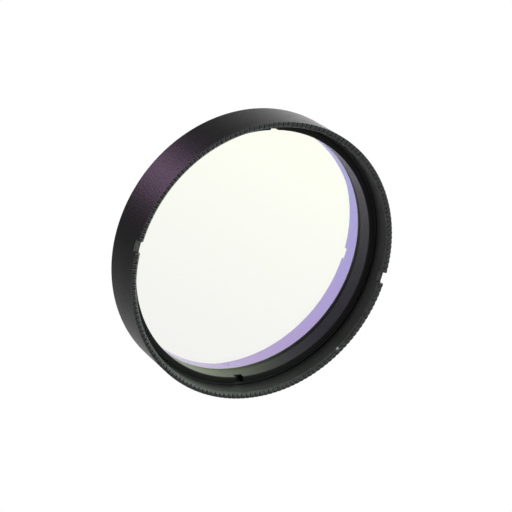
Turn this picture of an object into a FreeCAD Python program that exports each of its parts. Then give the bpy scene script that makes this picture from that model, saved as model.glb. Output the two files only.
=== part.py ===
import FreeCAD, Part
import os

import Sketcher

# Light pollution filter: a coated glass disc that a screwed ring holds in a turned metal cell.
# It lies on its rear face: rear face at z = 0, open serrated end up, axis on +Z.
# The two notches of the front rim lie on the X axis.

# Driving sizes: millimetres, except one angle in degrees and one count
SIZES = {
    # Glass disc and the lip that it rests on
    "glass_radius": 26.2,
    "glass_thickness": 1.6,
    "glass_bevel": 0.15,
    "glass_clearance": 0.1,
    "lip_thickness": 0.5,
    "lip_overlap": 0.75,
    # Screwed ring, with two slots for a pin wrench
    "ring_height": 3.5,
    "ring_wall": 1.25,
    "ring_outer_bevel": 0.1,
    "ring_inner_bevel": 0.2,
    "slot_width": 1.7,
    "slot_depth": 1.2,
    "slot_angle": 99.0,
    # Threaded bore of the cell, drawn plain at the thread's outer radius
    "thread_step": 0.2,
    "thread_clearance": 0.05,
    "seat_relief": 0.3,
    # Relief groove round the front edge of the ring, where the thread runs out
    "relief_depth": 0.35,
    "relief_drop": 0.5,
    "relief_rise": 0.1,
    # Open recess in front of the ring, and the wall round it
    "recess_depth": 4.0,
    "recess_step": 0.35,
    "cell_wall": 1.15,
    "rear_bevel": 0.2,
    # Front rim, notched on both sides and serrated all round
    "front_bevel": 0.5,
    "notch_width": 2.3,
    "notch_depth": 1.2,
    "serration_count": 172,
    "serration_width": 0.3,
    "serration_depth": 0.35,
    # How far a cutting profile runs past the metal that it cuts
    "cut_overrun": 1.0,
}

# Radii, each built outwards from the glass
SEAT = "(dims.glass_radius + dims.glass_clearance)"
OPENING = "(dims.glass_radius - dims.lip_overlap)"
THREAD_BORE = f"({SEAT} + dims.thread_step)"
RING_OUTER = f"({THREAD_BORE} - dims.thread_clearance)"
RING_BORE = f"({RING_OUTER} - dims.ring_wall)"
RECESS = f"({THREAD_BORE} + dims.recess_step)"
RELIEF = f"({RECESS} + dims.relief_depth)"
WALL = f"({RECESS} + dims.cell_wall)"

# Heights, each built up from the rear face
REAR = "0"
GLASS_REAR = "dims.lip_thickness"
GLASS_FRONT = f"({GLASS_REAR} + dims.glass_thickness)"
SEAT_TOP = f"({GLASS_FRONT} - dims.seat_relief)"
RING_FRONT = f"({GLASS_FRONT} + dims.ring_height)"
THREAD_TOP = f"({RING_FRONT} - dims.relief_drop)"
RELIEF_TOP = f"({RING_FRONT} + dims.relief_rise)"
FRONT = f"({RING_FRONT} + dims.recess_depth)"

# Sketcher's own numbers for the two axes and for the ends of a line
HORIZONTAL_AXIS = -1
VERTICAL_AXIS = -2
ORIGIN_POINT = (-1, 1)
START = 1
END = 2

FULL_TURN = 360


def make_sheet(doc):
    """Fill the spreadsheet with the driving sizes, one aliased cell for each."""
    sheet = doc.addObject("Spreadsheet::Sheet", "dims")
    for row, (alias, size) in enumerate(SIZES.items(), start=1):
        cell = f"A{row}"
        sheet.set(cell, str(size))
        sheet.setAlias(cell, alias)
    doc.recompute()
    return sheet


def origin_feature(body, role):
    """Find one of the body's own origin planes or axes."""
    return next(item for item in body.Origin.OriginFeatures if item.Role == role)


def new_sketch(body, name, plane):
    """Add an empty sketch on one of the body's origin planes."""
    sketch = body.newObject("Sketcher::SketchObject", name)
    sketch.AttachmentSupport = [(origin_feature(body, plane), "")]
    sketch.MapMode = "FlatFace"
    return sketch


def draw_outline(sketch, sheet, corners):
    """Draw a closed outline whose corners, pairs of expressions, are bound to the sheet."""
    points = [FreeCAD.Vector(sheet.evalExpression(x), sheet.evalExpression(y), 0) for x, y in corners]
    count = len(points)
    for index, point in enumerate(points):
        sketch.addGeometry(Part.LineSegment(point, points[(index + 1) % count]), False)
    for index in range(count):
        following = (index + 1) % count
        sketch.addConstraint(Sketcher.Constraint("Coincident", index, END, following, START))
    for index, (x, y) in enumerate(corners):
        bind_corner(sketch, index, "DistanceX", x, points[index].x, VERTICAL_AXIS)
        bind_corner(sketch, index, "DistanceY", y, points[index].y, HORIZONTAL_AXIS)


def bind_corner(sketch, index, kind, expression, size, axis):
    """Hold one coordinate of a corner: on the axis where it is zero, else by a bound distance."""
    if expression == "0":
        sketch.addConstraint(Sketcher.Constraint("PointOnObject", index, START, axis))
        return
    number = sketch.addConstraint(Sketcher.Constraint(kind, *ORIGIN_POINT, index, START, size))
    sketch.setExpression(f"Constraints[{number}]", expression)


def revolve(body, sheet, name, corners):
    """Turn a section of radius and height about the Z axis."""
    sketch = new_sketch(body, f"{name}_section", "XZ_Plane")
    draw_outline(sketch, sheet, corners)
    turned = body.newObject("PartDesign::Revolution", name)
    turned.Profile = sketch
    turned.ReferenceAxis = (sketch, ["V_Axis"])
    turned.Angle = FULL_TURN
    sheet.Document.recompute()
    return turned


def mill_across(body, sheet, name, top, reach, width, depth):
    """Mill one straight slot across the whole piece, down from its top face."""
    sketch = new_sketch(body, f"{name}_outline", "XY_Plane")
    sketch.setExpression("AttachmentOffset.Base.z", top)
    half_length = f"({reach} + dims.cut_overrun)"
    half_width = f"({width} / 2)"
    corners = [
        (f"-{half_length}", f"-{half_width}"),
        (half_length, f"-{half_width}"),
        (half_length, half_width),
        (f"-{half_length}", half_width),
    ]
    draw_outline(sketch, sheet, corners)
    return pocket(body, sheet, name, sketch, depth)


def pocket(body, sheet, name, sketch, depth):
    """Cut a sketch into the body, and make sure that the cut took metal away."""
    before = body.Tip.Shape.Volume
    cut = body.newObject("PartDesign::Pocket", name)
    cut.Profile = sketch
    cut.setExpression("Length", depth)
    sheet.Document.recompute()
    if not cut.Shape.Volume < before:
        raise ValueError(f"{name} cuts nothing")
    return cut


def make_cell(doc, sheet):
    """Turned cell: rear lip, glass seat, threaded bore, relief groove, recess and serrated rim."""
    body = doc.addObject("PartDesign::Body", "filter_cell")
    corners = [
        (OPENING, REAR),
        (f"{WALL} - dims.rear_bevel", REAR),
        (WALL, "dims.rear_bevel"),
        (WALL, FRONT),
        (f"{RECESS} + dims.front_bevel", FRONT),
        (RECESS, f"{FRONT} - dims.front_bevel"),
        (RECESS, RELIEF_TOP),
        (RELIEF, RELIEF_TOP),
        (RELIEF, THREAD_TOP),
        (THREAD_BORE, THREAD_TOP),
        (THREAD_BORE, SEAT_TOP),
        (SEAT, SEAT_TOP),
        (SEAT, GLASS_REAR),
        (OPENING, GLASS_REAR),
    ]
    revolve(body, sheet, "cell_turned", corners)
    serrate_rim(body, sheet)
    mill_across(body, sheet, "rim_notches", FRONT, WALL, "dims.notch_width", "dims.notch_depth")
    return body


def serrate_rim(body, sheet):
    """Cut one radial V groove in the front face of the rim, then repeat it round the axis."""
    sketch = new_sketch(body, "serration_profile", "XZ_Plane")
    groove_start = f"({RECESS} - dims.cut_overrun)"
    groove_end = f"({WALL} + dims.cut_overrun)"
    sketch.setExpression("AttachmentOffset.Base.z", f"-{groove_start}")
    half_width = "(dims.serration_width / 2)"
    corners = [
        ("0", f"{FRONT} - dims.serration_depth"),
        (half_width, FRONT),
        (half_width, f"{FRONT} + dims.cut_overrun"),
        (f"-{half_width}", f"{FRONT} + dims.cut_overrun"),
        (f"-{half_width}", FRONT),
    ]
    draw_outline(sketch, sheet, corners)
    groove = pocket(body, sheet, "serration", sketch, f"{groove_end} - {groove_start}")
    pattern = body.newObject("PartDesign::PolarPattern", "serrations")
    pattern.Originals = [groove]
    pattern.Axis = (origin_feature(body, "Z_Axis"), [""])
    pattern.Angle = FULL_TURN
    pattern.setExpression("Occurrences", "dims.serration_count")
    body.Tip = pattern
    sheet.Document.recompute()
    if not pattern.Shape.Volume < groove.Shape.Volume:
        raise ValueError("the serrations are not repeated")


def make_glass(doc, sheet):
    """Coated glass disc with a small ground bevel on both edges."""
    body = doc.addObject("PartDesign::Body", "filter_glass")
    inset = "dims.glass_radius - dims.glass_bevel"
    corners = [
        ("0", GLASS_REAR),
        (inset, GLASS_REAR),
        ("dims.glass_radius", f"{GLASS_REAR} + dims.glass_bevel"),
        ("dims.glass_radius", f"{GLASS_FRONT} - dims.glass_bevel"),
        (inset, GLASS_FRONT),
        ("0", GLASS_FRONT),
    ]
    revolve(body, sheet, "glass_disc", corners)
    return body


def make_ring(doc, sheet):
    """Screwed ring that presses on the glass, slotted on both sides for a pin wrench."""
    body = doc.addObject("PartDesign::Body", "retaining_ring")
    corners = [
        (RING_BORE, GLASS_FRONT),
        (RING_OUTER, GLASS_FRONT),
        (RING_OUTER, f"{RING_FRONT} - dims.ring_outer_bevel"),
        (f"{RING_OUTER} - dims.ring_outer_bevel", RING_FRONT),
        (f"{RING_BORE} + dims.ring_inner_bevel", RING_FRONT),
        (RING_BORE, f"{RING_FRONT} - dims.ring_inner_bevel"),
    ]
    revolve(body, sheet, "ring_turned", corners)
    width = "dims.slot_width"
    depth = "dims.slot_depth"
    slots = mill_across(body, sheet, "wrench_slots", RING_FRONT, RING_OUTER, width, depth)
    slots.Profile[0].setExpression("AttachmentOffset.Rotation.Angle", "dims.slot_angle")
    doc.recompute()
    return body


def check(doc, bodies):
    """Stop if an object failed or a piece has no sound solid."""
    for item in doc.Objects:
        if "Invalid" in item.State or "Error" in item.State:
            raise ValueError(f"{item.Label} failed: {item.State}")
    for body in bodies:
        if body.Shape.isNull() or not body.Shape.isValid():
            raise ValueError(f"{body.Label} has no valid shape")


def main():
    """Build the three pieces and write each one to its own file."""
    doc = FreeCAD.newDocument("light_pollution_filter")
    sheet = make_sheet(doc)
    bodies = [make_cell(doc, sheet), make_glass(doc, sheet), make_ring(doc, sheet)]
    doc.recompute()
    check(doc, bodies)
    os.makedirs("parts", exist_ok=True)
    for body in bodies:
        body.Shape.exportStep(f"parts/{body.Label}.step")
        print(body.Label, "solids", len(body.Shape.Solids), "volume", round(body.Shape.Volume, 2))


main()
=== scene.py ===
"""Dressed light pollution filter: a screwed ring holds a coated glass disc in a turned cell."""
import logging
import math
from dataclasses import dataclass
from enum import Enum
from typing import Any

import bmesh
import bpy
from mathutils import Matrix, Vector


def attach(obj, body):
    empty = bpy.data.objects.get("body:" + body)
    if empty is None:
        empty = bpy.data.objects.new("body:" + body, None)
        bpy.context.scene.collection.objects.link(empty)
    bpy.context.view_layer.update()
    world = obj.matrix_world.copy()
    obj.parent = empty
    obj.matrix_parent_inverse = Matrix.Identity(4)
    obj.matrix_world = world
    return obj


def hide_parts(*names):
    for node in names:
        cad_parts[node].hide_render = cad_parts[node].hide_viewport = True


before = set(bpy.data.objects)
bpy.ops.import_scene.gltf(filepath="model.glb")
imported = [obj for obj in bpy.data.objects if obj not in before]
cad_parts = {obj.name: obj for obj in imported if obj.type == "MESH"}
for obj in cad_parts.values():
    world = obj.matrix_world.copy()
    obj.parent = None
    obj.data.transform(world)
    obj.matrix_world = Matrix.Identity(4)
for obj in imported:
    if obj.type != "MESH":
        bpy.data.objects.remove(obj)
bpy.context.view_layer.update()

BODY = "root"
MM = 0.001
FULL_TURN = 2.0 * math.pi
# Half the pitch of the serrations, where the pitch is 1
HALF_PITCH = 0.5
# How far a milling cut runs past the metal
CUT_OVERRUN_MM = 1.0
# Points of a turned piece that lie closer than this become one
WELD_MM = 0.001
# Flats on each rounded corner of a section
EDGE_FLATS = 2
# Colour sockets of a Mix node: its two inputs and its result
MIX_FIRST, MIX_SECOND, MIX_RESULT = 6, 7, 2

logging.basicConfig(level=logging.INFO, format="%(name)s: %(message)s")
log = logging.getLogger("filter")


class Slot(Enum):
    """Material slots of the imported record."""

    CELL = "cell_anodised"
    RING = "ring_anodised"
    GLASS = "coated_glass"


class Node(Enum):
    """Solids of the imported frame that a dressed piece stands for."""

    CELL = "filter_cell"
    RING = "retaining_ring"
    GLASS = "filter_glass"


class Groove(Enum):
    """How a point of the cell's section follows the serrations: shift inwards and shift down."""

    NONE = (0.0, 0.0)
    RUN_OUT = (0.0, 0.6)
    ALONG_BEVEL = (1.0, 1.0)


# A place in space
Corner = tuple[float, float, float]
# Radius, height, rounding and groove of a corner of a section
SectionCorner = tuple[float, float, float, Groove]
# Share of the pitch and depth in millimetres of each step of one tooth
Tooth = list[tuple[float, float]]
PLAIN_TOOTH: Tooth = [(0.0, 0.0)]


def linear(hex_colour: str) -> tuple[float, float, float, float]:
    """Turn an sRGB hex colour into linear light.

    Args:
        hex_colour: Six hex digits with a leading #.

    Returns:
        Red, green, blue and an alpha of 1.
    """
    channels = [int(hex_colour[i:i + 2], 16) / 255.0 for i in (1, 3, 5)]
    light = [c / 12.92 if c <= 0.04045 else ((c + 0.055) / 1.055) ** 2.4 for c in channels]
    return (*light, 1.0)


def towards(azimuth_deg: float, elevation_deg: float) -> Vector:
    """Find the direction that lies at an azimuth and an elevation.

    Args:
        azimuth_deg: Angle about +Z, from +X.
        elevation_deg: Angle above the floor.

    Returns:
        A vector of length 1.
    """
    around, above = math.radians(azimuth_deg), math.radians(elevation_deg)
    return Vector((math.cos(around) * math.cos(above), math.sin(around) * math.cos(above),
                   math.sin(above)))


def add_node(tree: bpy.types.NodeTree, kind: str, inputs: dict[Any, Any] | None = None,
             **settings: Any) -> bpy.types.Node:
    """Add a node, give it its settings, and fill or link its inputs.

    Args:
        tree: Node tree that takes the node.
        kind: Type name of the node.
        inputs: Values or sockets by the input's name or number.
        **settings: Properties of the node itself.

    Returns:
        The new node.
    """
    node = tree.nodes.new(kind)
    for name, value in settings.items():
        setattr(node, name, value)
    for name, value in (inputs or {}).items():
        if isinstance(value, bpy.types.NodeSocket):
            tree.links.new(value, node.inputs[name])
        else:
            node.inputs[name].default_value = value
    return node


def new_material(name: str) -> tuple[bpy.types.Material, bpy.types.NodeTree]:
    """Make an empty material.

    Args:
        name: Name of the real material.

    Returns:
        The material and its node tree, with no nodes.
    """
    material = bpy.data.materials.new(name)
    material.use_nodes = True
    material.node_tree.nodes.clear()
    return material, material.node_tree


@dataclass(frozen=True)
class MattAndPaintedLightZone:
    """Surfaces left duller by the tool: all those within a radius and above a height. Its colour
    is painted light where lighter than the dye, painted shade where darker.
    """

    within_mm: float
    above_mm: float
    # Painted light or painted shade laid over the zone, not the metal's own colour
    colour: str
    roughness: float


@dataclass(frozen=True)
class RubbedRim:
    """Wear of a handled rim: bare metal on its edges, on its bevel and beside its grooves.

    Each worn value is the share of the dye that is gone there. Flecks of sound dye break the
    wear up. One deeper nick shows bright.
    """

    wall_mm: float
    front_mm: float
    bevel_mm: float
    edge_width_mm: float
    grooves: int
    groove_share: float
    lip_share: float
    groove_floor_mm: float
    edge_worn: float
    bevel_worn: float
    groove_worn: float
    bare: str
    notch_mm: Corner
    notch_size_mm: float
    notch_play_mm: float
    notch_worn: float
    nick_mm: Corner
    nick_size_mm: float
    nick: str
    fleck_mm: float
    fleck_detail: float
    fleck_low: float
    fleck_high: float
    fleck_least: float


@dataclass(frozen=True)
class AnodisedAluminium:
    """Turned aluminium, dyed and anodised black: a thin clear oxide over a dark dye.

    It gives the eye a near-black body with a soft, slightly wide highlight, and faint turning
    marks that run round the axis.
    """

    name: str
    colour: str
    dye_shift: str
    roughness: float
    # Duller surfaces whose colour is painted light on the cell and painted shade on the ring
    matt: MattAndPaintedLightZone
    rubbed: RubbedRim | None = None
    roughness_spread: float = 0.05
    specular: float = 0.45
    turning_pitch_mm: float = 0.2
    turning_depth_mm: float = 0.004
    turning_detail: float = 2.0
    turning_breakup: float = 0.6
    mottle_mm: float = 6.0
    mottle_detail: float = 4.0
    grain_mm: float = 0.3
    grain_depth_mm: float = 0.2
    grain_detail: float = 1.0
    relief_strength: float = 0.25

    def make(self) -> bpy.types.Material:
        """Build the material.

        Returns:
            The finished material.
        """
        material, tree = new_material(self.name)
        place = add_node(tree, "ShaderNodeTexCoord").outputs["Object"]
        height = add_node(tree, "ShaderNodeSeparateXYZ", {0: place}).outputs[2]
        flat = add_node(tree, "ShaderNodeVectorMath", {0: place, 1: (1.0, 1.0, 0.0)},
                        operation="MULTIPLY")
        radius = add_node(tree, "ShaderNodeVectorMath", {0: flat.outputs[0]},
                          operation="LENGTH").outputs["Value"]
        # Turning marks follow the tool: they repeat along the section and run round the axis
        along = add_node(tree, "ShaderNodeMath", {0: radius, 1: height}, operation="ADD")
        feed = add_node(tree, "ShaderNodeCombineXYZ", {0: along.outputs[0]})
        marks = add_node(tree, "ShaderNodeTexNoise", {
            "Vector": feed.outputs[0], "Scale": 1.0 / (self.turning_pitch_mm * MM),
            "Detail": self.turning_detail, "Roughness": self.turning_breakup}).outputs["Fac"]
        mottle = add_node(tree, "ShaderNodeTexNoise", {
            "Vector": place, "Scale": 1.0 / (self.mottle_mm * MM),
            "Detail": self.mottle_detail})
        colour = add_node(tree, "ShaderNodeMix", {
            "Factor": mottle.outputs["Fac"], MIX_FIRST: linear(self.colour),
            MIX_SECOND: linear(self.dye_shift)}, data_type="RGBA").outputs[MIX_RESULT]
        # Inside the zone the tool left the metal duller, and its colour there is painted light or
        # painted shade over the dye
        within = add_node(tree, "ShaderNodeMath", {0: radius, 1: self.matt.within_mm * MM},
                          operation="LESS_THAN")
        above = add_node(tree, "ShaderNodeMath", {0: height, 1: self.matt.above_mm * MM},
                         operation="GREATER_THAN")
        matt_and_painted_light = add_node(tree, "ShaderNodeMath", {0: within.outputs[0], 1: above.outputs[0]},
                        operation="MULTIPLY")
        colour = add_node(tree, "ShaderNodeMix", {
            "Factor": matt_and_painted_light.outputs[0], MIX_FIRST: colour, MIX_SECOND: linear(self.matt.colour)},
            data_type="RGBA").outputs[MIX_RESULT]
        if self.rubbed:
            colour = self._rub(tree, place, radius, height, colour)
        shine = add_node(tree, "ShaderNodeMapRange", {
            "Value": matt_and_painted_light.outputs[0], "To Min": self.roughness, "To Max": self.matt.roughness})
        ripple = add_node(tree, "ShaderNodeMapRange", {
            "Value": marks, "To Min": -self.roughness_spread, "To Max": self.roughness_spread})
        rough = add_node(tree, "ShaderNodeMath", {0: shine.outputs[0], 1: ripple.outputs[0]},
                         operation="ADD")
        # The grain of the etched metal, drawn coarser than it is so that it shows
        grain = add_node(tree, "ShaderNodeTexNoise", {
            "Vector": place, "Scale": 1.0 / (self.grain_mm * MM), "Detail": self.grain_detail})
        relief = add_node(tree, "ShaderNodeMath", {
            0: grain.outputs["Fac"], 1: self.grain_depth_mm / self.turning_depth_mm, 2: marks},
            operation="MULTIPLY_ADD")
        bump = add_node(tree, "ShaderNodeBump", {
            "Height": relief.outputs[0], "Strength": self.relief_strength,
            "Distance": self.turning_depth_mm * MM})
        shader = add_node(tree, "ShaderNodeBsdfPrincipled", {
            "Base Color": colour, "Roughness": rough.outputs[0],
            "Specular IOR Level": self.specular, "Normal": bump.outputs[0]})
        add_node(tree, "ShaderNodeOutputMaterial", {"Surface": shader.outputs[0]})
        return material

    def _rub(self, tree: bpy.types.NodeTree, place: bpy.types.NodeSocket,
             radius: bpy.types.NodeSocket, height: bpy.types.NodeSocket,
             dyed: bpy.types.NodeSocket) -> bpy.types.NodeSocket:
        """Rub the dye off the rim.

        Args:
            tree: Node tree of the material.
            place: Object coordinates.
            radius: Distance of the point from the axis.
            height: Height of the point.
            dyed: Colour of the sound dye.

        Returns:
            The colour with the worn places and the nick.
        """
        rim = self.rubbed
        worn = self._wear(tree, place, radius, height)
        fleck = add_node(tree, "ShaderNodeTexNoise", {
            "Vector": place, "Scale": 1.0 / (rim.fleck_mm * MM), "Detail": rim.fleck_detail})
        patchy = add_node(tree, "ShaderNodeMapRange", {
            "Value": fleck.outputs["Fac"], "From Min": rim.fleck_low,
            "From Max": rim.fleck_high, "To Min": rim.fleck_least})
        bared = add_node(tree, "ShaderNodeMath", {0: worn, 1: patchy.outputs[0]},
                         operation="MULTIPLY")
        colour = add_node(tree, "ShaderNodeMix", {
            "Factor": bared.outputs[0], MIX_FIRST: dyed, MIX_SECOND: linear(rim.bare)},
            data_type="RGBA").outputs[MIX_RESULT]
        distance = add_node(tree, "ShaderNodeVectorMath", {
            0: place, 1: tuple(axis * MM for axis in rim.nick_mm)}, operation="DISTANCE")
        nick = add_node(tree, "ShaderNodeMapRange", {
            "Value": distance.outputs["Value"], "From Min": rim.nick_size_mm * MM,
            "From Max": 0.0})
        return add_node(tree, "ShaderNodeMix", {
            "Factor": nick.outputs[0], MIX_FIRST: colour, MIX_SECOND: linear(rim.nick)},
            data_type="RGBA").outputs[MIX_RESULT]

    def _wear(self, tree: bpy.types.NodeTree, place: bpy.types.NodeSocket,
              radius: bpy.types.NodeSocket,
              height: bpy.types.NodeSocket) -> bpy.types.NodeSocket:
        """Find how much of the dye is worn away at a point of the rim.

        Args:
            tree: Node tree of the material.
            place: Object coordinates.
            radius: Distance of the point from the axis.
            height: Height of the point.

        Returns:
            The share of the dye that is gone.
        """
        rim = self.rubbed
        # Height plus radius is greatest at the wall's corner, height less radius on the bevel
        corner, slope = rim.wall_mm + rim.front_mm, rim.front_mm - rim.bevel_mm
        outwards = add_node(tree, "ShaderNodeMath", {0: height, 1: radius}, operation="ADD")
        inwards = add_node(tree, "ShaderNodeMath", {0: height, 1: radius}, operation="SUBTRACT")
        edge = add_node(tree, "ShaderNodeMapRange", {
            "Value": outwards.outputs[0], "From Min": (corner - rim.edge_width_mm) * MM,
            "From Max": corner * MM, "To Max": rim.edge_worn})
        bevel = add_node(tree, "ShaderNodeMapRange", {
            "Value": inwards.outputs[0], "From Min": (slope - rim.edge_width_mm) * MM,
            "From Max": slope * MM, "To Max": rim.bevel_worn})
        # Distance from the nearest groove's middle, in pitches, then from that groove's lip
        split = add_node(tree, "ShaderNodeSeparateXYZ", {0: place}).outputs
        angle = add_node(tree, "ShaderNodeMath", {0: split[1], 1: split[0]}, operation="ARCTAN2")
        count = add_node(tree, "ShaderNodeMath", {
            0: angle.outputs[0], 1: rim.grooves / FULL_TURN}, operation="MULTIPLY")
        aside = add_node(tree, "ShaderNodeMath", {0: count.outputs[0], 1: HALF_PITCH},
                         operation="PINGPONG")
        past_lip = add_node(tree, "ShaderNodeMath", {
            0: aside.outputs[0], 1: rim.groove_share / 2}, operation="SUBTRACT")
        from_lip = add_node(tree, "ShaderNodeMath", {0: past_lip.outputs[0]},
                            operation="ABSOLUTE")
        groove = add_node(tree, "ShaderNodeMapRange", {
            "Value": from_lip.outputs[0], "From Min": rim.lip_share, "From Max": 0.0,
            "To Max": rim.groove_worn})
        reached = add_node(tree, "ShaderNodeMath", {0: height, 1: rim.groove_floor_mm * MM},
                           operation="GREATER_THAN")
        cut = add_node(tree, "ShaderNodeMath", {0: groove.outputs[0], 1: reached.outputs[0]},
                       operation="MULTIPLY")
        edges = add_node(tree, "ShaderNodeMath", {0: edge.outputs[0], 1: bevel.outputs[0]},
                         operation="MAXIMUM")
        worn = add_node(tree, "ShaderNodeMath", {0: edges.outputs[0], 1: cut.outputs[0]},
                        operation="MAXIMUM")
        # Only the floor of the notch lies at this height and so near to its middle
        off = add_node(tree, "ShaderNodeVectorMath", {
            0: place, 1: tuple(axis * MM for axis in rim.notch_mm)}, operation="DISTANCE")
        in_notch = add_node(tree, "ShaderNodeMath", {
            0: off.outputs["Value"], 1: rim.notch_size_mm * MM}, operation="LESS_THAN")
        on_floor = add_node(tree, "ShaderNodeMath", {
            0: height, 1: rim.notch_mm[2] * MM, 2: rim.notch_play_mm * MM}, operation="COMPARE")
        milled = add_node(tree, "ShaderNodeMath", {
            0: in_notch.outputs[0], 1: on_floor.outputs[0]}, operation="MULTIPLY")
        return add_node(tree, "ShaderNodeMath", {
            0: milled.outputs[0], 1: rim.notch_worn, 2: worn.outputs[0]},
            operation="MULTIPLY_ADD").outputs[0]


@dataclass(frozen=True)
class CoatedGlass:
    """Polished optical glass with an interference coating on its front face.

    The coating sends green light back and lets purple light through. One film stands for its
    stack of layers, which is why the film's IOR is high. It lies a little thicker on the side
    towards +Y, where the light that it lets through is bluer.
    """

    name: str
    tint: str
    ior: float
    film_thick_nm: float
    film_thin_nm: float
    film_ior: float
    film_reach_mm: float
    film_above_mm: float

    def make(self) -> bpy.types.Material:
        """Build the material.

        Returns:
            The finished material.
        """
        material, tree = new_material(self.name)
        place = add_node(tree, "ShaderNodeTexCoord").outputs["Object"]
        split = add_node(tree, "ShaderNodeSeparateXYZ", {0: place}).outputs
        film = add_node(tree, "ShaderNodeMapRange", {
            "Value": split[1], "From Min": -self.film_reach_mm * MM,
            "From Max": self.film_reach_mm * MM, "To Min": self.film_thin_nm,
            "To Max": self.film_thick_nm})
        front = add_node(tree, "ShaderNodeMath", {0: split[2], 1: self.film_above_mm * MM},
                         operation="GREATER_THAN")
        coat = add_node(tree, "ShaderNodeMath", {0: film.outputs[0], 1: front.outputs[0]},
                        operation="MULTIPLY")
        shader = add_node(tree, "ShaderNodeBsdfPrincipled", {
            "Base Color": linear(self.tint), "Roughness": 0.0, "IOR": self.ior,
            "Transmission Weight": 1.0, "Thin Film Thickness": coat.outputs[0],
            "Thin Film IOR": self.film_ior})
        add_node(tree, "ShaderNodeOutputMaterial", {"Surface": shader.outputs[0]})
        return material


@dataclass(frozen=True)
class LitFloor:
    """White acrylic sheet lit from below, as on a product table: it glows and has no shine."""

    name: str
    colour: str
    unlit: str
    glow: float

    def make(self) -> bpy.types.Material:
        """Build the material.

        Returns:
            The finished material.
        """
        material, tree = new_material(self.name)
        shader = add_node(tree, "ShaderNodeBsdfPrincipled", {
            "Base Color": linear(self.unlit), "Roughness": 1.0, "Specular IOR Level": 0.0,
            "Emission Color": linear(self.colour), "Emission Strength": self.glow})
        add_node(tree, "ShaderNodeOutputMaterial", {"Surface": shader.outputs[0]})
        return material


CELL_FINISH = AnodisedAluminium(
    name="satin black anodised aluminium", colour="#101011", dye_shift="#151417", roughness=0.3,
    # Inside the cell the lighter colour is painted light, standing in for light scattered about
    # the recess
    matt=MattAndPaintedLightZone(within_mm=27.0, above_mm=0.0, colour="#38383b", roughness=0.55),
    rubbed=RubbedRim(
        wall_mm=28.0, front_mm=9.6, bevel_mm=27.35, edge_width_mm=0.12,
        grooves=172, groove_share=0.29, lip_share=0.1, groove_floor_mm=9.22,
        edge_worn=0.25, bevel_worn=0.25, groove_worn=0.4, bare="#9b9b9e",
        notch_mm=(-27.4, 0.0, 8.4), notch_size_mm=1.4, notch_play_mm=0.02, notch_worn=0.3,
        nick_mm=(22.01, -15.7, 9.29), nick_size_mm=0.4, nick="#f4f4f6",
        fleck_mm=0.6, fleck_detail=2.0, fleck_low=0.3, fleck_high=0.7, fleck_least=0.3))
RING_FINISH = AnodisedAluminium(
    name="matt black anodised aluminium", colour="#0a0a0b", dye_shift="#0e0e10", roughness=0.33,
    # On the ring's front face the darker colour is painted shade; the higher roughness is the
    # tool's dull finish
    matt=MattAndPaintedLightZone(within_mm=27.0, above_mm=5.5, colour="#080809", roughness=0.85))
GLASS_FINISH = CoatedGlass(
    name="interference coated glass", tint="#f7f2f0", ior=1.52, film_thick_nm=126.6,
    film_thin_nm=120.8, film_ior=3.45, film_reach_mm=26.2, film_above_mm=2.05)
FLOOR_FINISH = LitFloor(name="lit white acrylic", colour="#ffffff", unlit="#000000", glow=1.0)


@dataclass(frozen=True)
class SectionPoint:
    """A point of a turned section, in millimetres, and how it follows the serrations."""

    radius: float
    height: float
    groove: Groove = Groove.NONE


def rounded_section(corners: list[SectionCorner]) -> list[SectionPoint]:
    """Round the corners of a closed section.

    Args:
        corners: The corners, in order.

    Returns:
        The points of the rounded section, in the same order.
    """
    points: list[SectionPoint] = []
    for index, (radius, height, rounding, groove) in enumerate(corners):
        here = Vector((radius, height))
        if rounding == 0.0:
            points.append(SectionPoint(radius, height, groove))
            continue
        before = Vector(corners[index - 1][:2]) - here
        after = Vector(corners[(index + 1) % len(corners)][:2]) - here
        start = here + before.normalized() * rounding
        end = here + after.normalized() * rounding
        for step in range(EDGE_FLATS + 1):
            t = step / EDGE_FLATS
            point = start * (1 - t) ** 2 + here * 2 * t * (1 - t) + end * t ** 2
            points.append(SectionPoint(point.x, point.y, groove))
    return points


def polyline_object(name: str, places: list[Vector]) -> bpy.types.Object:
    """Make an object of loose points joined in a row.

    Args:
        name: Name of the object.
        places: The points, in metres.

    Returns:
        The object, linked to the scene.
    """
    mesh = bpy.data.meshes.new(name)
    mesh.from_pydata(places, [(i, i + 1) for i in range(len(places) - 1)], [])
    made = bpy.data.objects.new(name, mesh)
    bpy.context.scene.collection.objects.link(made)
    return made


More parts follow.
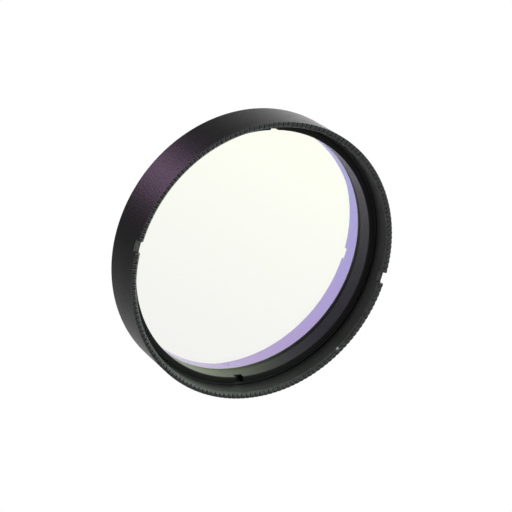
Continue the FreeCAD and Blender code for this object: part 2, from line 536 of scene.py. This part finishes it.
class TurningTree:
    """Geometry Nodes tree that turns a section about the Z axis, with teeth cut all round.

    One point of the section gives a row of the surface. One step of the tooth gives a column,
    and the tooth repeats round the axis.
    """

    SECTION_POINTS = "Section points"
    CLOSING_POINTS = "Closing points"
    TEETH = "Teeth"
    TOOTH_STEPS = "Steps of a tooth"
    TOOTH = "Tooth"
    FINISH = "Finish"
    WELD = "Weld distance"
    GROOVE = "groove"

    # Sums that give each point of the sheet its row, its tooth and its step of the tooth
    COUNTING = (
        ("columns", "MULTIPLY", TEETH, TOOTH_STEPS),
        ("sheet columns", "ADD", "columns", 1.0),
        ("sheet rows", "ADD", SECTION_POINTS, CLOSING_POINTS),
        ("rows before", "DIVIDE", "index", "sheet columns"),
        ("row", "FLOOR", "rows before", 0.0),
        ("row start", "MULTIPLY", "row", "sheet columns"),
        ("column", "SUBTRACT", "index", "row start"),
        ("teeth before", "DIVIDE", "column", TOOTH_STEPS),
        ("tooth number", "FLOOR", "teeth before", 0.0),
        ("tooth start", "MULTIPLY", "tooth number", TOOTH_STEPS),
        ("step", "SUBTRACT", "column", "tooth start"),
        ("section row", "MODULO", "row", SECTION_POINTS),
    )
    # Sums that bend the sheet round the axis and sink it where a groove is
    BENDING = (
        ("turn", "ADD", "tooth number", "tooth x"),
        ("turned", "MULTIPLY", "turn", FULL_TURN),
        ("angle", "DIVIDE", "turned", TEETH),
        ("inwards", "MULTIPLY", "tooth z", "follow x"),
        ("down", "MULTIPLY", "tooth z", "follow z"),
        ("radius", "SUBTRACT", "section x", "inwards"),
        ("cosine", "COSINE", "angle", 0.0),
        ("sine", "SINE", "angle", 0.0),
        ("x", "MULTIPLY", "radius", "cosine"),
        ("y", "MULTIPLY", "radius", "sine"),
        ("z", "SUBTRACT", "section z", "down"),
    )

    def __init__(self) -> None:
        """Build the tree once, for all the turned pieces."""
        self.tree = bpy.data.node_groups.new("turned_about_axis", "GeometryNodeTree")
        self.sockets: dict[str, str] = {}
        self._declare()
        self._build()

    def _declare(self) -> None:
        """Give the tree its named inputs and its output."""
        face = self.tree.interface
        face.new_socket("Section", in_out="INPUT", socket_type="NodeSocketGeometry")
        for name, kind in ((self.SECTION_POINTS, "NodeSocketInt"),
                           (self.CLOSING_POINTS, "NodeSocketInt"),
                           (self.TEETH, "NodeSocketInt"),
                           (self.TOOTH_STEPS, "NodeSocketInt"),
                           (self.TOOTH, "NodeSocketObject"),
                           (self.FINISH, "NodeSocketMaterial"),
                           (self.WELD, "NodeSocketFloat")):
            self.sockets[name] = face.new_socket(name, in_out="INPUT", socket_type=kind).identifier
        face.new_socket("Turned", in_out="OUTPUT", socket_type="NodeSocketGeometry")

    def _build(self) -> None:
        """Add the nodes: a sheet of rows and columns, bent round the axis and welded."""
        tree = self.tree
        given = add_node(tree, "NodeGroupInput").outputs
        tooth = add_node(tree, "GeometryNodeObjectInfo", {"Object": given[self.TOOTH]})
        position = add_node(tree, "GeometryNodeInputPosition").outputs[0]
        groove = add_node(tree, "GeometryNodeInputNamedAttribute", {"Name": self.GROOVE},
                          data_type="FLOAT_VECTOR").outputs["Attribute"]
        value: dict[str | float, bpy.types.NodeSocket] = {
            name: given[name] for name in (self.SECTION_POINTS, self.CLOSING_POINTS, self.TEETH,
                                           self.TOOTH_STEPS)}
        value["index"] = add_node(tree, "GeometryNodeInputIndex").outputs[0]
        for name, operation, first, second in self.COUNTING:
            value[name] = add_node(tree, "ShaderNodeMath", {
                0: value.get(first, first), 1: value.get(second, second)},
                operation=operation).outputs[0]
        for name, geometry, read, at in (
                ("tooth", tooth.outputs["Geometry"], position, "step"),
                ("section", given["Section"], position, "section row"),
                ("follow", given["Section"], groove, "section row")):
            sampled = add_node(tree, "GeometryNodeSampleIndex", {
                "Geometry": geometry, "Value": read, "Index": value[at]},
                data_type="FLOAT_VECTOR", domain="POINT")
            split = add_node(tree, "ShaderNodeSeparateXYZ", {0: sampled.outputs[0]})
            for axis, socket in zip("xyz", split.outputs):
                value[f"{name} {axis}"] = socket
        for name, operation, first, second in self.BENDING:
            value[name] = add_node(tree, "ShaderNodeMath", {
                0: value.get(first, first), 1: value.get(second, second)},
                operation=operation).outputs[0]
        sheet = add_node(tree, "GeometryNodeMeshGrid", {
            "Vertices X": value["sheet rows"], "Vertices Y": value["sheet columns"]})
        place = add_node(tree, "ShaderNodeCombineXYZ",
                         {0: value["x"], 1: value["y"], 2: value["z"]})
        bent = add_node(tree, "GeometryNodeSetPosition",
                        {"Geometry": sheet.outputs["Mesh"], "Position": place.outputs[0]})
        welded = add_node(tree, "GeometryNodeMergeByDistance",
                          {"Geometry": bent.outputs[0], "Distance": given[self.WELD]})
        plain = add_node(tree, "GeometryNodeRealizeInstances", {"Geometry": welded.outputs[0]})
        dressed = add_node(tree, "GeometryNodeSetMaterial",
                           {"Geometry": plain.outputs[0], "Material": given[self.FINISH]})
        add_node(tree, "NodeGroupOutput", {0: dressed.outputs[0]})

    def turn(self, name: str, section: list[SectionPoint], tooth: Tooth, teeth: int,
             finish: bpy.types.Material, closed: bool) -> bpy.types.Object:
        """Turn a section into a plain mesh.

        Args:
            name: Name of the new piece.
            section: Points of the section, in order.
            tooth: The steps of one tooth.
            teeth: Number of teeth round the axis.
            finish: Material of the piece.
            closed: True if the last point of the section joins the first.

        Returns:
            The piece, at the origin, with no modifier left on it.
        """
        made = polyline_object(name, [Vector((p.radius, 0.0, p.height)) * MM for p in section])
        groove = made.data.attributes.new(self.GROOVE, "FLOAT_VECTOR", "POINT")
        for value, point in zip(groove.data, section):
            inwards, down = point.groove.value
            value.vector = (inwards, 0.0, down)
        cutter = polyline_object(f"{name}_tooth", [Vector((share, 0.0, depth * MM))
                                                  for share, depth in tooth])
        modifier = made.modifiers.new("turned", "NODES")
        modifier.node_group = self.tree
        for socket, value in ((self.SECTION_POINTS, len(section)),
                              (self.CLOSING_POINTS, int(closed)), (self.TEETH, teeth),
                              (self.TOOTH_STEPS, len(tooth)), (self.TOOTH, cutter),
                              (self.FINISH, finish), (self.WELD, WELD_MM * MM)):
            modifier[self.sockets[socket]] = value
        make_plain(made)
        bpy.data.objects.remove(cutter)
        # The grid brings an empty slot of its own before the finish
        made.data.materials.pop(index=0)
        point_outwards(made.data)
        return made


def make_plain(piece: bpy.types.Object) -> None:
    """Turn the evaluated piece into a plain mesh and remove its modifiers.

    Args:
        piece: The piece, which keeps its name.
    """
    graph = bpy.context.evaluated_depsgraph_get()
    mesh = bpy.data.meshes.new_from_object(piece.evaluated_get(graph), depsgraph=graph)
    piece.modifiers.clear()
    piece.data = mesh
    mesh.name = piece.name


def point_outwards(mesh: bpy.types.Mesh) -> None:
    """Turn the faces of a closed mesh outwards.

    Args:
        mesh: The mesh to correct.
    """
    work = bmesh.new()
    work.from_mesh(mesh)
    bmesh.ops.recalc_face_normals(work, faces=work.faces)
    work.to_mesh(mesh)
    work.free()


def mill(piece: bpy.types.Object, finish: bpy.types.Material, radius_mm: float, top_mm: float,
         width_mm: float, depth_mm: float, angle_deg: float = 0.0) -> None:
    """Mill a straight slot across a piece, down from its top face.

    Args:
        piece: The piece to cut.
        finish: Material of the cut faces.
        radius_mm: Outer radius of the piece.
        top_mm: Height of the top face.
        width_mm: Width of the slot.
        depth_mm: Depth of the slot.
        angle_deg: Direction of the cut about the axis, from +X.
    """
    half, floor, top = width_mm / 2, top_mm - depth_mm, top_mm + CUT_OVERRUN_MM
    reach = radius_mm + CUT_OVERRUN_MM
    profile = [(-half, floor), (half, floor), (half, top), (-half, top)]
    count = len(profile)
    corners = [(side * reach, across, height) for side in (-1, 1) for across, height in profile]
    faces = [tuple(range(count)), tuple(range(2 * count - 1, count - 1, -1))]
    faces += [(i, i + count, (i + 1) % count + count, (i + 1) % count) for i in range(count)]
    mesh = bpy.data.meshes.new("cutter")
    mesh.from_pydata([Vector(c) * MM for c in corners], [], faces)
    mesh.transform(Matrix.Rotation(math.radians(angle_deg), 4, "Z"))
    point_outwards(mesh)
    mesh.materials.append(finish)
    cutter = bpy.data.objects.new("cutter", mesh)
    bpy.context.scene.collection.objects.link(cutter)
    cut = piece.modifiers.new("slot", "BOOLEAN")
    cut.operation = "DIFFERENCE"
    cut.solver = "EXACT"
    cut.object = cutter
    make_plain(piece)
    bpy.data.objects.remove(cutter)


def smooth(piece: bpy.types.Object, crease_deg: float) -> None:
    """Shade a piece smooth, so that large faces stay true beside their rounded edges.

    Args:
        piece: The piece to shade.
        crease_deg: Edges that turn by more than this angle stay sharp.
    """
    piece.data.shade_smooth()
    piece.data.set_sharp_from_angle(angle=math.radians(crease_deg))
    weighted = piece.modifiers.new("true_faces", "WEIGHTED_NORMAL")
    weighted.keep_sharp = True
    make_plain(piece)


def hand_over(piece: bpy.types.Object, node: Node) -> None:
    """Let a piece ride on the body, and let it stand for its solid.

    Args:
        piece: The finished piece.
        node: The solid that it replaces.
    """
    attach(piece, BODY)
    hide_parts(node.value)
    log.info("%s: %d faces", piece.name, len(piece.data.polygons))


@dataclass
class FilterCell:
    """Turned cell with a rear lip, a recess in front, a serrated rim and two notches."""

    opening: float = 25.45
    seat: float = 26.3
    thread_bore: float = 26.5
    recess: float = 26.85
    relief: float = 27.2
    wall: float = 28.0
    lip_top: float = 0.5
    seat_top: float = 1.8
    thread_top: float = 5.1
    relief_top: float = 5.7
    front: float = 9.6
    rear_bevel: float = 0.2
    front_bevel: float = 0.5
    edge: float = 0.05
    serrations: int = 172
    serration_width: float = 0.3
    serration_depth: float = 0.35
    tooth_steps: int = 8
    notch_width: float = 2.3
    notch_depth: float = 1.2
    crease_deg: float = 40.0

    def section(self) -> list[SectionPoint]:
        """Draw the section, round from the rear opening.

        Returns:
            The points of the section, in order.
        """
        plain, edge = Groove.NONE, self.edge
        return rounded_section([
            (self.opening, 0.0, edge, plain),
            (self.wall - self.rear_bevel, 0.0, edge, plain),
            (self.wall, self.rear_bevel, edge, plain),
            (self.wall, self.front, edge, Groove.RUN_OUT),
            (self.recess + self.front_bevel, self.front, edge, Groove.ALONG_BEVEL),
            (self.recess, self.front - self.front_bevel, edge, plain),
            (self.recess, self.relief_top, 0.0, plain),
            (self.relief, self.relief_top, 0.0, plain),
            (self.relief, self.thread_top, 0.0, plain),
            (self.thread_bore, self.thread_top, 0.0, plain),
            (self.thread_bore, self.seat_top, 0.0, plain),
            (self.seat, self.seat_top, 0.0, plain),
            (self.seat, self.lip_top, 0.0, plain),
            (self.opening, self.lip_top, edge, plain),
        ])

    def tooth(self) -> Tooth:
        """Draw one pitch from a V groove's floor, in even steps so that the wall stays smooth.

        Returns:
            The steps of the tooth.
        """
        pitch = FULL_TURN * self.wall / self.serrations
        half_width = self.serration_width / 2
        steps: Tooth = []
        for step in range(self.tooth_steps):
            aside = min(step, self.tooth_steps - step) * pitch / self.tooth_steps
            depth = max(0.0, self.serration_depth * (1.0 - aside / half_width))
            steps.append((step / self.tooth_steps, depth))
        return steps

    def build(self, turning: TurningTree, finish: bpy.types.Material) -> None:
        """Build and dress the cell.

        Args:
            turning: Tree that turns the section.
            finish: Material of the cell.
        """
        piece = turning.turn("filter_cell_turned", self.section(), self.tooth(),
                             self.serrations, finish, closed=True)
        mill(piece, finish, self.wall, self.front, self.notch_width, self.notch_depth)
        smooth(piece, self.crease_deg)
        hand_over(piece, Node.CELL)


@dataclass
class RetainingRing:
    """Screwed ring that presses on the glass, with two slots for a pin wrench."""

    bore: float = 25.2
    outer: float = 26.45
    rear: float = 2.1
    front: float = 5.6
    outer_bevel: float = 0.1
    inner_bevel: float = 0.2
    edge: float = 0.03
    slot_width: float = 1.7
    slot_depth: float = 1.2
    slot_angle: float = 99.0
    columns: int = 720
    crease_deg: float = 40.0

    def section(self) -> list[SectionPoint]:
        """Draw the section, round from the bore at the rear.

        Returns:
            The points of the section, in order.
        """
        plain, edge = Groove.NONE, self.edge
        return rounded_section([
            (self.bore, self.rear, edge, plain),
            (self.outer, self.rear, edge, plain),
            (self.outer, self.front - self.outer_bevel, edge, plain),
            (self.outer - self.outer_bevel, self.front, edge, plain),
            (self.bore + self.inner_bevel, self.front, edge, plain),
            (self.bore, self.front - self.inner_bevel, edge, plain),
        ])

    def build(self, turning: TurningTree, finish: bpy.types.Material) -> None:
        """Build and dress the ring.

        Args:
            turning: Tree that turns the section.
            finish: Material of the ring.
        """
        piece = turning.turn("retaining_ring_turned", self.section(), PLAIN_TOOTH,
                             self.columns, finish, closed=True)
        mill(piece, finish, self.outer, self.front, self.slot_width, self.slot_depth,
             self.slot_angle)
        smooth(piece, self.crease_deg)
        hand_over(piece, Node.RING)


@dataclass
class FilterGlass:
    """Coated glass disc with a small ground bevel on both edges."""

    radius: float = 26.2
    rear: float = 0.5
    front: float = 2.1
    bevel: float = 0.15
    columns: int = 360
    crease_deg: float = 20.0

    def section(self) -> list[SectionPoint]:
        """Draw half the section, from the axis at the rear to the axis at the front.

        Returns:
            The points of the section, in order.
        """
        inset = self.radius - self.bevel
        return [SectionPoint(r, z) for r, z in (
            (0.0, self.rear), (inset, self.rear), (self.radius, self.rear + self.bevel),
            (self.radius, self.front - self.bevel), (inset, self.front), (0.0, self.front))]

    def build(self, turning: TurningTree, finish: bpy.types.Material) -> None:
        """Build and dress the glass.

        Args:
            turning: Tree that turns the section.
            finish: Material of the glass.
        """
        piece = turning.turn("filter_glass_disc", self.section(), PLAIN_TOOTH,
                             self.columns, finish, closed=False)
        smooth(piece, self.crease_deg)
        hand_over(piece, Node.GLASS)


@dataclass
class PhotoCamera:
    """Camera of the photograph, found by fitting the rim's edges."""

    azimuth_deg: float = 155.54
    elevation_deg: float = 54.536
    roll_deg: float = 126.408
    distance_mm: float = 338.15
    target_mm: Corner = (-1.861, 0.849, 8.143)
    lens_mm: float = 125.155
    sensor_mm: float = 36.0
    nearest_m: float = 0.01
    farthest_m: float = 20.0

    def build(self) -> None:
        """Set up the camera and make it the scene's own."""
        roll = math.radians(self.roll_deg)
        back = towards(self.azimuth_deg, self.elevation_deg)
        level_right = Vector((0.0, 0.0, 1.0)).cross(back).normalized()
        level_up = back.cross(level_right)
        right = level_right * math.cos(roll) + level_up * math.sin(roll)
        up = level_up * math.cos(roll) - level_right * math.sin(roll)
        data = bpy.data.cameras.new("photo_camera")
        data.lens, data.sensor_width = self.lens_mm, self.sensor_mm
        data.clip_start, data.clip_end = self.nearest_m, self.farthest_m
        made = bpy.data.objects.new("photo_camera", data)
        bpy.context.scene.collection.objects.link(made)
        place = (Vector(self.target_mm) + back * self.distance_mm) * MM
        facing = Matrix((right, up, back)).transposed().to_4x4()
        made.matrix_world = Matrix.Translation(place) @ facing
        bpy.context.scene.camera = made


@dataclass(frozen=True)
class SoftLight:
    """A large far light: brightest one way, and half as bright at its reach from there."""

    azimuth_deg: float
    elevation_deg: float
    reach_deg: float
    colour: str
    strength: float


@dataclass
class Studio:
    """Plain pale floor and round backdrop that glow, and soft light, mostly from behind."""

    floor_half_m: float = 4.0
    floor_drop_mm: float = 0.02
    backdrop_m: float = 3.5
    backdrop_height_m: float = 3.5
    backdrop_sides: int = 64
    fill: str = "#ffffff"
    fill_strength: float = 0.02
    lights: tuple[SoftLight, ...] = (
        SoftLight(6.0, 50.0, 36.0, "#ffffff", 0.92),
        SoftLight(44.0, 38.0, 28.0, "#d2f0d6", 1.4),
        SoftLight(45.0, 8.0, 20.0, "#f4fff4", 2.0),
        SoftLight(-120.0, 45.0, 30.0, "#ffffff", 0.5),
        SoftLight(0.0, -52.0, 24.0, "#ffffff", 1.1),
        SoftLight(-80.0, -52.0, 34.0, "#ffffff", 0.26),
        SoftLight(147.0, -50.0, 10.0, "#ecc0ee", 4.2),
        SoftLight(180.0, 45.0, 30.0, "#ffffff", 0.2),
    )

    def build(self, finish: bpy.types.Material) -> None:
        """Lay the floor, stand the backdrop and set the light.

        Args:
            finish: Material of the floor and the backdrop.
        """
        half, level, sides = self.floor_half_m, -self.floor_drop_mm * MM, self.backdrop_sides
        square = [(-half, -half, level), (half, -half, level), (half, half, level),
                  (-half, half, level)]
        self._sheet("studio_floor", square, [(0, 1, 2, 3)], finish)
        turns = [FULL_TURN * side / sides for side in range(sides)]
        round_wall = [(self.backdrop_m * math.cos(turn), self.backdrop_m * math.sin(turn), height)
                      for height in (level, self.backdrop_height_m) for turn in turns]
        panels = [(i, (i + 1) % sides, (i + 1) % sides + sides, i + sides) for i in range(sides)]
        backdrop = self._sheet("studio_backdrop", round_wall, panels, finish)
        # The backdrop only stands behind the part: it throws no light and no shadow
        backdrop.visible_diffuse = backdrop.visible_shadow = False
        world = bpy.data.worlds.new("soft_studio")
        world.use_nodes = True
        world.node_tree.nodes.clear()
        self._shine(world.node_tree)
        bpy.context.scene.world = world
        bpy.context.scene.view_settings.view_transform = "Standard"

    def _sheet(self, name: str, corners: list[Corner], faces: list[tuple[int, ...]],
               finish: bpy.types.Material) -> bpy.types.Object:
        """Make one glowing sheet of the stage.

        Args:
            name: Name of the sheet.
            corners: Its corners, in metres.
            faces: Its faces, by the numbers of their corners.
            finish: Its material.

        Returns:
            The sheet, marked as stage.
        """
        mesh = bpy.data.meshes.new(name)
        mesh.from_pydata(corners, [], faces)
        mesh.materials.append(finish)
        sheet = bpy.data.objects.new(name, mesh)
        bpy.context.scene.collection.objects.link(sheet)
        # Black metal shows the dim room beyond, not the glowing sheet
        sheet.visible_glossy = False
        return sheet

    def _shine(self, tree: bpy.types.NodeTree) -> None:
        """Add up the fill and the soft lights.

        Args:
            tree: The world's node tree.
        """
        look = add_node(tree, "ShaderNodeTexCoord").outputs["Generated"]
        total: Any = [c * self.fill_strength for c in linear(self.fill)[:3]]
        for light in self.lights:
            source = towards(light.azimuth_deg, light.elevation_deg)
            falloff = math.log(2.0) / (1.0 - math.cos(math.radians(light.reach_deg)))
            facing = add_node(tree, "ShaderNodeVectorMath", {0: look, 1: source},
                              operation="DOT_PRODUCT")
            fade = add_node(tree, "ShaderNodeMath", {
                0: facing.outputs["Value"], 1: falloff, 2: -falloff}, operation="MULTIPLY_ADD")
            level = add_node(tree, "ShaderNodeMath", {0: fade.outputs[0]}, operation="EXPONENT")
            total = add_node(tree, "ShaderNodeVectorMath", {
                0: level.outputs[0], 1: [c * light.strength for c in linear(light.colour)[:3]],
                2: total}, operation="MULTIPLY_ADD").outputs[0]
        sky = add_node(tree, "ShaderNodeBackground", {"Color": total})
        add_node(tree, "ShaderNodeOutputWorld", {"Surface": sky.outputs[0]})


def main() -> None:
    """Build the pieces in order, then the camera and the studio."""
    turning = TurningTree()
    FilterCell().build(turning, CELL_FINISH.make())
    FilterGlass().build(turning, GLASS_FINISH.make())
    RetainingRing().build(turning, RING_FINISH.make())
    PhotoCamera().build()
    Studio().build(FLOOR_FINISH.make())


if __name__ == "__main__":
    main()
